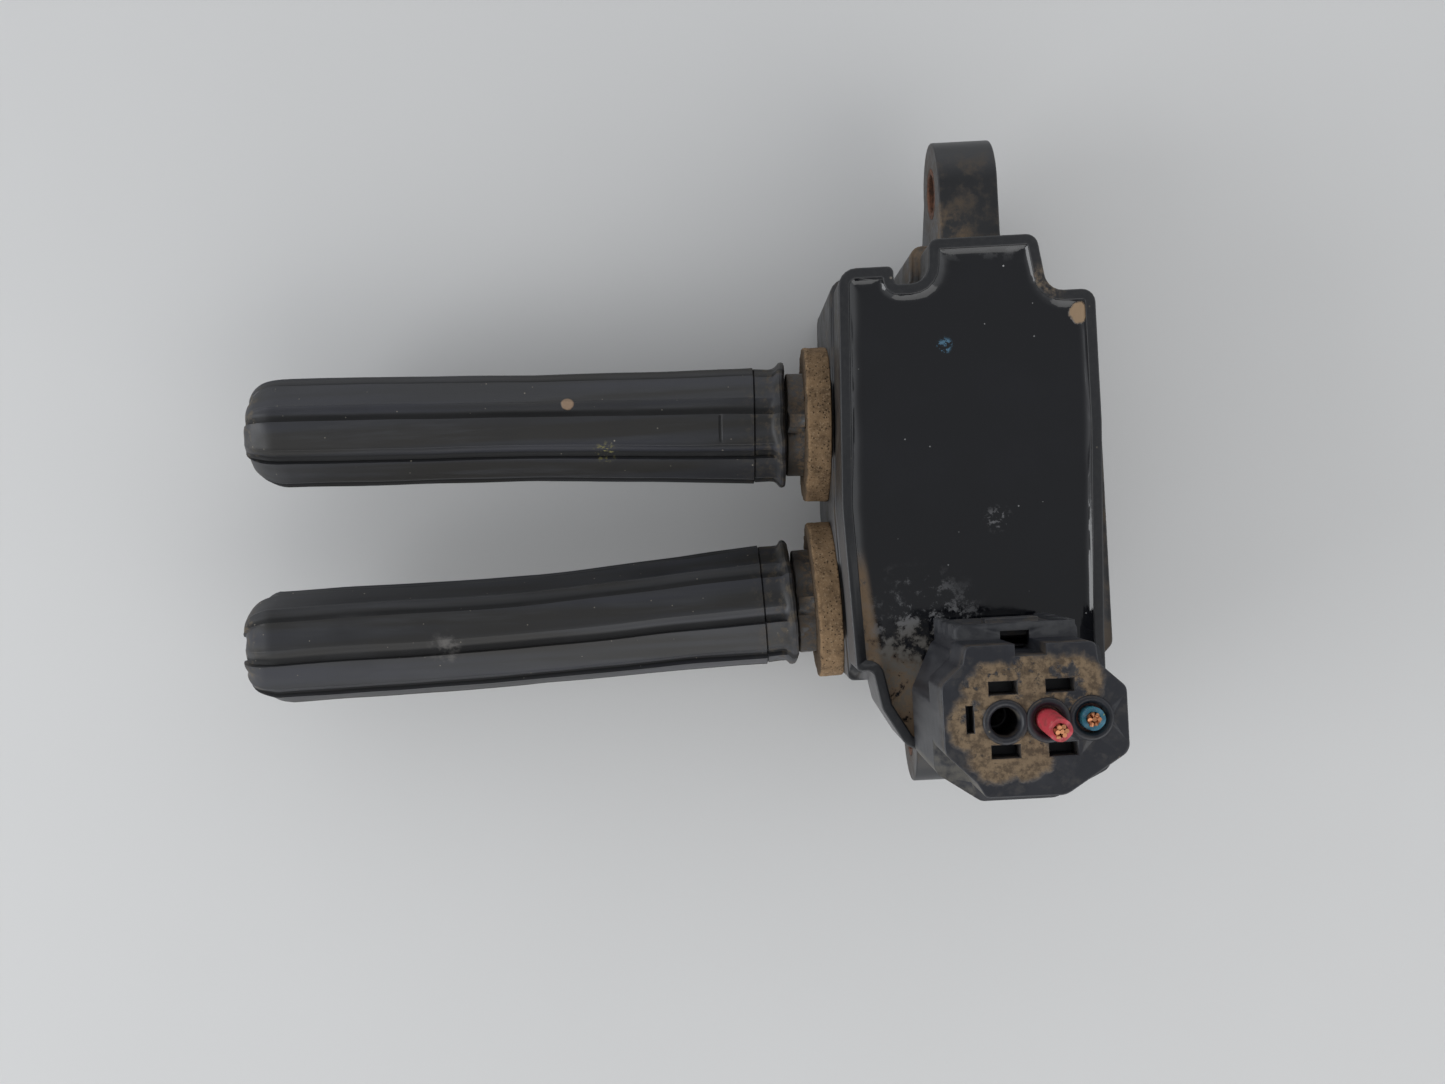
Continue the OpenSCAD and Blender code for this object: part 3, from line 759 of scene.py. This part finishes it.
def spring_mesh(side, axis):
    """A wound spring whose last turn at each end lies flat against the one before."""
    low, high = axis.span("contact_spring_" + side)
    wire = 0.4 * MM
    coil_r = axis.radii("contact_spring_" + side)[1] - wire
    flat, turns, steps = 1.1, 12, 22
    close = 2 * wire
    body = high - low - 2 * wire - 2 * flat * close
    route = []
    for i in range(int((turns + 2 * flat) * steps) + 1):
        t = i / steps
        rise = min(t, flat) * close + max(t - flat - turns, 0) * close
        rise += min(max(t - flat, 0), turns) / turns * body
        route.append(axis.place(low + wire + rise, coil_r, 2 * pi * t))
    return tube("contact_spring_" + side + "_wound", route, wire, 10)


def dense(profile, step):
    """Splits the long sides of a closed profile."""
    out = []
    for a, b in zip(profile, profile[1:] + profile[:1]):
        parts = max(1, round((Vector(b) - Vector(a)).length / step))
        out += [tuple(Vector(a).lerp(Vector(b), k / parts)) for k in range(parts)]
    return out


def seal_mesh(side, axis):
    """A foam ring with soft, nibbled edges."""
    low, high = axis.span("foam_seal_" + side)
    inner, outer = 9.2 * MM, axis.radii("foam_seal_" + side)[1]
    corners = [(low, inner, 0.0), (low, outer, 0.25 * MM), (high, outer, 0.7 * MM), (high, inner, 0.3 * MM)]
    profile = dense(rounded_profile(corners), 0.7 * MM)
    seed = Vector((5, 2, 1)) if side == "upper" else Vector((1, 7, 3))

    def worn(row, d, r, turn):
        swing = Vector((cos(turn), sin(turn), 0))
        free = smoothed(low, high, d)
        if r < inner + 0.4 * MM:
            return d, r + (0.85 * MM if abs(sin(turn)) < 0.13 and cos(turn) > 0 else 0.0)
        wave = noise(swing * 2.1 + seed) * 0.32
        wave += noise(swing * 9 + Vector((0, 0, d * 900)) + seed) * 0.16
        nick = max(0.0, noise(swing * 6 + seed * 3) - 0.38) * 2.4 * free
        face = noise(swing * r / MM * 0.45 + seed) * 0.22 * free
        return d + (face - 0.1 * free) * MM, r + (wave - 0.22 - nick) * MM

    return fix_normals(lathe("foam_seal_" + side + "_worn", axis, profile, 176, worn))


# Side, first flute's angle in degrees, then bow, added length and mould tick's place in millimetres
BOOTS = (("upper", 6.5, 0.2, -1.1, 11.4), ("lower", 29, 0.85, 0.9, 0))


def boots():
    foam_look = foam()
    for side, start_deg, bow, stretch, tick_at in BOOTS:
        axis = boot_axis(side)
        reach = axis.span("boot_" + side)
        reach = (reach[0], reach[1] + stretch * MM)
        look = boot_rubber("boot_rubber_" + side, axis, reach)
        if side == "upper":
            chipped = axis.place(reach[0] + 37.9 * MM, 9.9 * MM, radians(21))
            chip = look.near(chipped, 1.05, 0.12, 0.6)
            look.layer(chip, (0.24, 0.165, 0.11), 0.8)
            look.raise_by(chip, 0.12)
            lichen = look.near(axis.place(reach[0] + 31.5 * MM, 9.9 * MM, radians(-31)), 1.7, 0.5)
            bits = look.clouds(0.7, 0.52, 0.6, detail=4)
            look.layer((lichen, bits), (0.17, 0.155, 0.06), 0.9)
        else:
            scuff = look.near(axis.place(reach[0] + 61 * MM, 9.9 * MM, radians(-14)), 2.4, 0.6)
            look.layer((scuff, look.clouds(2, 0.45, 0.7)), (0.10, 0.095, 0.09), 0.8)
        skin = boot_mesh(side, axis, start_deg, bow, stretch, tick_at)
        stand_for("boot_" + side, skin, look.done(), sharp=30)
        steel = metal("spring_wire_" + side, (0.56, 0.56, 0.57), 0.3)
        stand_for("contact_spring_" + side, spring_mesh(side, axis), steel, sharp=60)
        seal = stand_for("foam_seal_" + side, seal_mesh(side, axis), foam_look, sharp=50)


# ---------------------------------------------------------------- body and resin

RIM_Z, RESIN_Z, SHELF_Z, REAR_Z = 24, 22.8, 45, 57.5


def housing_look():
    look = black_plastic("housing_black", (0.0085, 0.009, 0.0105), 0.36)
    z = look.axis("Z")
    base = FRONT.z
    clouds = look.clouds(5, 0.42, 0.66, detail=6, roughness=0.68)
    fine = look.clouds(0.8, 0.42, 0.66, detail=5, roughness=0.75)
    front = look.ramp(look.facing((-1, 0, 0)), 0.55, 0.9)
    upward = look.ramp(look.facing((0, 0, 1)), 0.7, 0.95)
    lower_half = look.ramp(look.axis("Y"), spot(0, 6).y, spot(0, -8).y)
    above_step = look.ramp(z, base + 2 * MM, base + 10 * MM)
    look.layer((front, clouds), (0.050, 0.040, 0.030), 0.70, 0.55)
    # painted reflection: the lower half of the front wall, above the step, is painted light grey
    look.layer((front, lower_half, above_step), (0.115, 0.113, 0.115), 0.50, 0.75)
    ledge = look.both(upward, look.ramp(z, base + (RIM_Z - 3) * MM, base + (RIM_Z - 7) * MM))
    look.layer((ledge, clouds), (0.075, 0.055, 0.036), 0.85, 0.7)
    for side in ("upper", "lower"):
        along = aligned(look, boot_axis(side))
        neck = look.both(look.ramp(along, 3.6 * MM, 4.4 * MM), look.ramp(along, 30 * MM, 12 * MM))
        by_foam = look.both(look.ramp(along, 3.6 * MM, 4.0 * MM), look.ramp(along, 6.4 * MM, 4.4 * MM))
        look.layer((neck, look.either(clouds, fine)), (0.050, 0.038, 0.026), 0.85, 0.5)
        look.layer((by_foam, fine), (0.165, 0.112, 0.066), 0.9, 0.7)
        face = look.near(MOUNTS["bolt_" + side]["pos_m"], 8.6, 0.35)
        look.layer((face, front, fine), (0.135, 0.088, 0.052), 0.85, 0.6)
    rim = look.both(look.ramp(z, base + (RIM_Z - 1.2) * MM, base + (RIM_Z - 0.3) * MM), fine)
    look.layer(rim, (0.022, 0.022, 0.023), 0.45, 0.5)
    root = look.near(spot(18.5, 45.5, 10), 6.5, 0.5, 5)
    look.layer((root, clouds), (0.19, 0.13, 0.078), 0.9, 0.85)
    corner = look.near(spot(35.5, 35.5, 23.5), 2.8, 0.5, 3)
    look.layer((corner, fine), (0.17, 0.125, 0.08), 0.9, 0.8)
    look.layer(specks(look, 1.0, 0.03), (0.16, 0.14, 0.11), 0.9, 0.6)
    look.layer(specks(look, 2.6, 0.04, 0.1), (0.25, 0.22, 0.18), 0.9, 0.6)
    return look.done()


def resin_look():
    """Gloss black potting resin with the marks that its years have left."""
    look = Shader("resin_gloss", (0.0038, 0.0042, 0.0058), 0.075, Specular_IOR_Level=0.6)
    dull = look.clouds(16, 0.45, 0.75, detail=5)
    look.layer(dull, (0.0055, 0.006, 0.0085), 0.15, 0.7)
    grime = look.noise(1.9, detail=7, roughness=0.72)
    patch = look.near(spot(40.6, 30.0, RESIN_Z), 1.75, 0.12, 1.3, 1.6)
    look.layer(patch, (0.255, 0.175, 0.105), 0.9)
    look.raise_by(patch, 0.2)
    ring = look.near(spot(18.3, 25.8, RESIN_Z), 1.15, 0.3, 1.4, 1)
    look.layer((ring, look.clouds(0.9, 0.47, 0.56)), (0.045, 0.12, 0.185), 0.6)
    scuff = look.near(spot(25.5, -3.0, RESIN_Z), 1.7, 0.6, 1.5)
    look.layer((scuff, look.clouds(0.8, 0.5, 0.62, detail=5)), (0.11, 0.11, 0.115), 0.8)
    pocket = look.near(spot(6.5, -34.5, RESIN_Z), 9, 0.3, 4)
    look.layer((pocket, look.ramp(grime, 0.36, 0.50)), (0.15, 0.098, 0.055), 0.92)
    lean = 0.11
    slant = look.math("ADD", look.axis("X"), look.math("MULTIPLY", look.axis("Y"), lean))
    across = look.ramp(slant, spot(3.1, 0).x + FRONT.y * lean, spot(1.6, 0).x + FRONT.y * lean)
    groove = look.both(across, look.ramp(look.axis("Y"), spot(0, -6).y, spot(0, -12).y))
    look.layer((groove, look.ramp(grime, 0.28, 0.5)), (0.19, 0.125, 0.07), 0.9, 0.9)
    residue = look.near(spot(13, -22.5, RESIN_Z), 9.5, 0.5, 8, 5)
    look.layer((residue, look.ramp(grime, 0.49, 0.62)), (0.15, 0.15, 0.155), 0.85, 0.75)
    murk = look.near(spot(9.5, -27.5, RESIN_Z), 7.5, 0.4, 6, 4)
    look.layer((murk, look.ramp(grime, 0.40, 0.6)), (0.075, 0.066, 0.052), 0.85, 0.75)
    edge = look.ramp(look.axis("Y"), spot(0, 38).y, spot(0, 42).y)
    look.layer((edge, look.clouds(2.5, 0.52, 0.64, detail=5)), (0.09, 0.09, 0.092), 0.6, 0.4)
    look.layer(specks(look, 1.0, 0.022), (0.20, 0.20, 0.20), 0.9, 0.8)
    look.layer(specks(look, 2.4, 0.035, 0.1), (0.42, 0.42, 0.42), 0.9, 0.9)
    look.raise_by(look.noise(22, detail=1), 0.16)
    look.raise_by(look.noise(2.4, detail=3), 0.008)
    return look.done()


CLIMB, FALL = 1.15 * MM, 1.05 * MM
WET_RINGS = (0.3, 0.6, 1.0, 1.5, 2.2, 3.2)
WALL_STEP, GRID, GRID_CLEAR = 0.9 * MM, 3 * MM, 4 * MM


def resin_mesh():
    """The CAD resin with a top that climbs every wall it wets."""
    bm = opened(frame["nodes"]["resin_fill"].data)
    bmesh.ops.remove_doubles(bm, verts=bm.verts, dist=0.004 * MM)
    level = max(v.co.z for v in bm.verts)
    top = {f for f in bm.faces if all(abs(v.co.z - level) < 0.01 * MM for v in f.verts)}
    border = [tuple(e.verts) for e in bm.edges if sum(f in top for f in e.link_faces) == 1]
    bmesh.ops.delete(bm, geom=list(top), context="FACES_ONLY")
    corners = list(dict.fromkeys(v for ends in border for v in ends))
    points = [v.co.to_2d() for v in corners]
    edges = [tuple(corners.index(v) for v in ends) for ends in border]
    walls = [(points[i], points[j]) for i, j in edges]

    def away(p):
        """Distance to the nearest wall."""
        reach = []
        for a, b in walls:
            foot, along = geometry.intersect_point_line(p, a, b)
            beside = 0 <= along <= 1
            reach.append((p - foot.to_2d()).length if beside else min((p - a).length, (p - b).length))
        return min(reach)

    def wet(p):
        """Between the walls, where a line to one side crosses an odd number of them."""
        hits = [1 for a, b in walls if (a.y > p.y) != (b.y > p.y)
                and p.x < (b.x - a.x) * (p.y - a.y) / (b.y - a.y) + a.x]
        return len(hits) % 2 == 1

    for a, b in walls:
        run = b - a
        normal = Vector((-run.y, run.x)).normalized()
        parts = max(1, int(run.length / WALL_STEP))
        for k in range(parts):
            foot = a + run * (k + 0.5) / parts
            for ring in WET_RINGS:
                for way in (normal, -normal):
                    p = foot + way * ring * MM
                    if wet(p) and away(p) > ring * 0.97 * MM:
                        points.append(p)
    low, high = (Vector([pick(v.co[i] for v in corners) for i in (0, 1)]) for pick in (min, max))
    for i in range(int((high.x - low.x) / GRID) + 1):
        for j in range(int((high.y - low.y) / GRID) + 1):
            p = low + Vector((i + 0.5 * (j % 2), j)) * GRID
            if wet(p) and away(p) > GRID_CLEAR:
                points.append(p)
    flat, _, triangles = geometry.delaunay_2d_cdt(points, edges, [], 1, 1e-7)[:3]
    made = []
    for p in flat:
        uneven = 0.9 + 0.2 * noise(p.to_3d() / (6 * MM))
        made.append(bm.verts.new((p.x, p.y, level + CLIMB * exp(-away(p) / FALL) * uneven)))
    for triangle in triangles:
        if wet(sum((flat[i] for i in triangle), Vector((0, 0))) / len(triangle)):
            bm.faces.new([made[i] for i in triangle])
    for i, j in edges:
        bm.faces.new((corners[i], corners[j], made[j], made[i]))
    bmesh.ops.delete(bm, geom=[v for v in made if not v.link_faces], context="VERTS")
    return fix_normals(closed("resin_fill_wet", bm))


def bush_mesh(node, mount):
    axis = Axis(mount["pos_m"], mount["axis"])
    low, high = axis.span(node)
    outer = axis.radii(node)[1]
    inner = mount["dims"]["r_mm"] * MM
    cut = 0.35 * MM
    corners = [(low, inner, cut), (low, outer, 0.1 * MM), (high, outer, 0.1 * MM), (high, inner, cut)]

    def rough(row, d, r, turn):
        pitting = noise(Vector((cos(turn) * 4, sin(turn) * 4, d * 600)))
        return d, r + (0.05 * MM * pitting if r < inner + cut else 0)

    return fix_normals(lathe(node + "_worn", axis, dense(rounded_profile(corners), 1.2 * MM), 72, rough))


def body():
    stand_for("housing", rounded_copy("housing", 0.32 * MM, 3), housing_look(), sharp=None)
    stand_for("resin_fill", resin_mesh(), resin_look(), sharp=50)
    rust = rusty()
    for side in ("upper", "lower"):
        stand_for("lug_bush_" + side, bush_mesh("lug_bush_" + side, MOUNTS["bolt_" + side]), rust)


# ---------------------------------------------------------------- harness plug

HALF_PIN = 0.75 * MM
PLACES = (1, 2, 3)
# Blots of clay on the rear face: place from the middle cavity and radius, in millimetres
CLAY_BLOTS = (
    (-9.6, 0, 4.3), (-7.4, 4, 4.2), (-1.4, 5, 4.4), (3.8, 5, 4.0), (-7.6, -4.4, 4.0), (-3, -4.6, 3.4),
)


def plug_axis(place):
    """Axis of one of the plug's cavities, up from the table."""
    low, high = node_box("connector_pin_%d" % place)
    return Axis(((low.x + high.x) / 2, low.y + HALF_PIN, 0), UP, Vector((1, 0, 0)))


def plug_look():
    look = Shader("plug_black", (0.0095, 0.0105, 0.0150), 0.40)
    look.layer(look.clouds(6, 0.45, 0.7, detail=5), (0.017, 0.018, 0.0235), 0.5)
    middle = plug_axis(2).origin
    z = look.axis("Z")
    rear_z = FRONT.z + REAR_Z * MM
    upward = look.facing((0, 0, 1))
    rear = look.both(look.ramp(upward, 0.6, 0.95), look.ramp(z, rear_z - 1.2 * MM, rear_z - 0.4 * MM))
    lumps = look.noise(2.4, detail=7, roughness=0.7)
    grain = look.clouds(1.1, 0.36, 0.62, detail=6)
    tone = look.mix("RGBA", grain, (0.075, 0.051, 0.030, 1), (0.185, 0.130, 0.077, 1))
    spread = None
    for x, y, r in CLAY_BLOTS:
        here = look.near((middle.x + x * MM, middle.y + y * MM, rear_z), r, 0.16, 3.0, 3)
        spread = here if spread is None else look.either(spread, here)
    for place in PLACES:
        mouth = plug_axis(place).origin
        clear = look.near((mouth.x, mouth.y, rear_z), 3.1, 0.06, 1.0, 2)
        spread = look.both(spread, look.math("SUBTRACT", 1.0, clear))
    bare = look.clouds(4.2, 0.66, 0.58, detail=5)
    clay = look.both(rear, look.both(spread, bare), look.ramp(lumps, 0.33, 0.42))
    look.layer((rear, look.ramp(lumps, 0.50, 0.66)), (0.034, 0.031, 0.029), 0.7, 0.55)
    look.layer(clay, tone, 0.95, 0.96)
    look.raise_by(look.both(clay, look.math("ADD", lumps, 0.4)), 0.22)
    well = look.both(look.ramp(z, rear_z - 5 * MM, rear_z - 1 * MM), look.ramp(upward, 0.5, 0.1))
    look.layer((well, look.ramp(lumps, 0.42, 0.56)), (0.085, 0.060, 0.036), 0.9, 0.5)
    hood = look.ramp(look.axis("Y"), middle.y + 10.9 * MM, middle.y + 11.3 * MM)
    look.layer((hood, look.clouds(3, 0.38, 0.60, detail=6)), (0.062, 0.063, 0.066), 0.75, 0.75)
    # painted sheen: walls facing left and lower left are lightened, broken into vertical dirt streaks
    dirt_and_sheen_streaks = look.ramp(look.noise(1.6, detail=4, vector=look.stretched((1, 1, 0.08))), 0.3, 0.7)
    left = look.both(look.ramp(look.facing((-1, 0, 0)), 0.3, 0.85), dirt_and_sheen_streaks)
    look.layer(left, (0.050, 0.052, 0.058), 0.5, 0.6)
    lower_left = look.both(look.ramp(look.facing((-0.8, -0.6, 0)), 0.75, 0.95), dirt_and_sheen_streaks)
    look.layer(lower_left, (0.115, 0.105, 0.085), 0.7, 0.7)
    look.layer(specks(look, 1.0, 0.03), (0.2, 0.17, 0.12), 0.9, 0.7)
    look.raise_by(look.noise(0.3, detail=2), 0.008)
    return look.done()


# Section of a cavity's lip, as distance from the rear face and radius, in millimetres
COLLAR = (
    (-1.6, 2.5), (-1.6, 1.98), (-0.6, 2.02), (0.0, 2.16), (0.3, 2.40), (0.42, 2.62),
    (0.42, 2.86), (0.3, 3.08), (0.0, 3.2), (-0.4, 3.2), (-0.4, 2.6),
)


def cavity_collar(axis):
    """The thick rounded lip round the mouth of a cavity in the plug's rear face."""
    rear = FRONT.z + REAR_Z * MM
    return fix_normals(lathe("cavity_collar", axis, [(rear + d * MM, r * MM) for d, r in COLLAR], 48))


SHEATH_SIDES = 28


def sheath(name, route, outer, inner, cut_lean):
    """Wire insulation: a tube with a bore and a slightly ragged end."""
    count = len(route)
    points = []
    for radius, rows in ((outer, range(count)), (inner, reversed(range(count)))):
        def wavy(i, turn):
            return radius * (1 + 0.02 * noise(Vector((cos(turn), sin(turn), i * 0.6))))

        skin = tube(name, route, radius, SHEATH_SIDES, closed_ends=False, shape=wavy)
        for row in rows:
            for j in range(SHEATH_SIDES):
                turn = 2 * pi * j / SHEATH_SIDES
                ragged = cut_lean * cos(turn + 0.7) + 0.12 * MM * sin(5 * turn) if row == count - 1 else 0
                points.append(skin.vertices[row * SHEATH_SIDES + j].co + heading(route, row) * ragged)
        bpy.data.meshes.remove(skin)
    return fix_normals(mesh_of(name, points, grid_faces(2 * count, SHEATH_SIDES)))


STRANDS, STRAY = 7, 1


def strands(name, route, reach):
    """Seven twisted strands, the last in the middle, cut unevenly and one of them bent aside."""
    parts = []
    strand = reach * 0.33
    for k in range(STRANDS):
        swing = 2 * pi * k / (STRANDS - 1)
        ring = 0.0 if k == STRANDS - 1 else reach * 0.655
        path = []
        for i, here in enumerate(route):
            ahead = heading(route, i)
            front = (Vector((1, 0, 0)) - ahead * ahead.x).normalized()
            side = ahead.cross(front)
            a = swing + i * 0.16
            path.append(here + (front * cos(a) + side * sin(a)) * ring)
        end = (route[-1] - route[-2]).normalized()
        path[-1] = path[-1] - end * (0.28 * MM * ((k * 5) % STRANDS) / STRANDS)
        if k == STRAY:
            path[-1] = path[-1] + (path[-1] - route[-1]) * 0.55
        parts.append(tube(name, path, strand, 10))
    return joined(name, parts)


HALF_BEND = 0.8 * MM
RISE_STEPS, BEND_STEPS, STUB_STEPS = 8, 6, 6


def wire_route(axis, low, bend, turn_deg, lean_deg, stub):
    """Up out of the cavity, round a short bend, then straight to the cut end."""
    turn, lean = radians(turn_deg), radians(lean_deg)
    aside = Vector((cos(turn), sin(turn), 0))
    climb = bend - HALF_BEND - low
    route = [axis.origin + UP * (low + climb * k / RISE_STEPS) for k in range(RISE_STEPS + 1)]
    here = route[-1].copy()
    for k in range(1, BEND_STEPS + 1):
        a = lean * k / BEND_STEPS
        here = here + (UP * cos(a) + aside * sin(a)) * (2 * HALF_BEND / BEND_STEPS)
        route.append(here.copy())
    ahead = UP * cos(lean) + aside * sin(lean)
    for k in range(1, STUB_STEPS + 1):
        route.append(here + ahead * (stub - HALF_BEND) * k / STUB_STEPS)
    return route


def insulation(name, color, *stains):
    """Coloured rubber. A stain is its noise's size, limits and detail, then what layer() takes."""
    look = Shader(name, color, 0.48)
    for size, low, high, detail, *paint in stains:
        look.layer(look.clouds(size, low, high, detail=detail), *paint)
    look.raise_by(look.noise(0.5, detail=3), 0.03)
    return look.done()


def wires():
    wire_r, bare_r = 1.65 * MM, 1.0 * MM
    copper = metal("strand_copper", (0.50, 0.225, 0.115), 0.42, stain=0.45)
    red = insulation(
        "red_insulation", (0.46, 0.042, 0.058),
        (1.3, 0.45, 0.68, 5, (0.26, 0.040, 0.040), 0.65, 0.8),
        (0.6, 0.58, 0.70, 4, (0.45, 0.20, 0.17), 0.8, 0.6))
    blue = insulation(
        "blue_insulation", (0.030, 0.135, 0.205),
        (1.0, 0.45, 0.65, 5, (0.030, 0.26, 0.28), 0.6, 0.8),
        (0.7, 0.60, 0.70, 4, (0.30, 0.33, 0.10), 0.8, 0.7))
    aside = -55
    for wire, place, look, lean in (("red", 2, red, 12), ("blue", 3, blue, 0)):
        axis = plug_axis(place)
        skin_low, skin_high = node_box("wire_%s_insulation" % wire)
        bare_low = node_box("wire_%s_copper" % wire)[0]
        bend = skin_high.z - 5.2 * MM if lean else skin_high.z - 1.2 * MM
        stub = 5 * MM if lean else 1.2 * MM
        skin = wire_route(axis, skin_low.z, bend, aside, lean, stub)
        bare = wire_route(axis, bare_low.z, bend, aside, lean, stub + 0.7 * MM)
        cover = sheath(wire + "_sheath", skin, wire_r, bare_r, 0.22 * MM)
        stand_for("wire_%s_insulation" % wire, cover, look, sharp=45)
        stand_for("wire_%s_copper" % wire, strands(wire + "_strands", bare, bare_r), copper, sharp=50)


def plug():
    shelf = FRONT.z + SHELF_Z * MM
    collars = [cavity_collar(plug_axis(place)) for place in PLACES]
    mesh = rounded_copy("plug_housing", 0.24 * MM, 3, collars, (shelf - 0.1 * MM, shelf + 2.1 * MM))
    stand_for("plug_housing", mesh, plug_look(), sharp=None)
    latch = black_plastic("latch_black", (0.022, 0.022, 0.025), 0.46)
    latch.layer(latch.clouds(2, 0.48, 0.68, detail=6), (0.09, 0.075, 0.055), 0.85, 0.6)
    stand_for("plug_latch", rounded_copy("plug_latch", 0.16 * MM, 2), latch.done(), sharp=None)
    wires()


# ---------------------------------------------------------------- CAD pieces that keep their shape

def dress_frame():
    looks = {
        "terminal_brass": metal("brass_turned", (0.62, 0.44, 0.17), 0.3, (0.05, 1, 1)),
        "winding_copper": ridged(
            "enamelled_turns", (0.42, 0.15, 0.05), 0.3, "Y", 0.24, 0.05, 0.8),
        "core_steel": ridged("steel_sheets", (0.30, 0.31, 0.33), 0.42, "Z", 0.5, 0.03, 0.9),
        "magnet_black": plain("ferrite", (0.05, 0.05, 0.055), 0.6),
        "bobbin_plastic": plain("bobbin_natural", (0.50, 0.47, 0.38), 0.5, shade=0.15),
        "pin_tin": metal("tin_plate", (0.58, 0.57, 0.54), 0.28, (1, 1, 0.06)),
        "lock_plastic": plain("lock_grey", (0.25, 0.26, 0.28), 0.45),
        "seal_silicone": plain("seal_orange", (0.40, 0.15, 0.045), 0.5),
        "grommet_silicone": plain("grommet_brown", (0.11, 0.036, 0.026), 0.5),
    }
    for node, holder in frame["nodes"].items():
        look = looks.get(NODE_SLOT[node])
        if look:
            for material_slot in holder.material_slots:
                material_slot.material = look


stage()
studio()
camera()
boots()
body()
plug()
dress_frame()
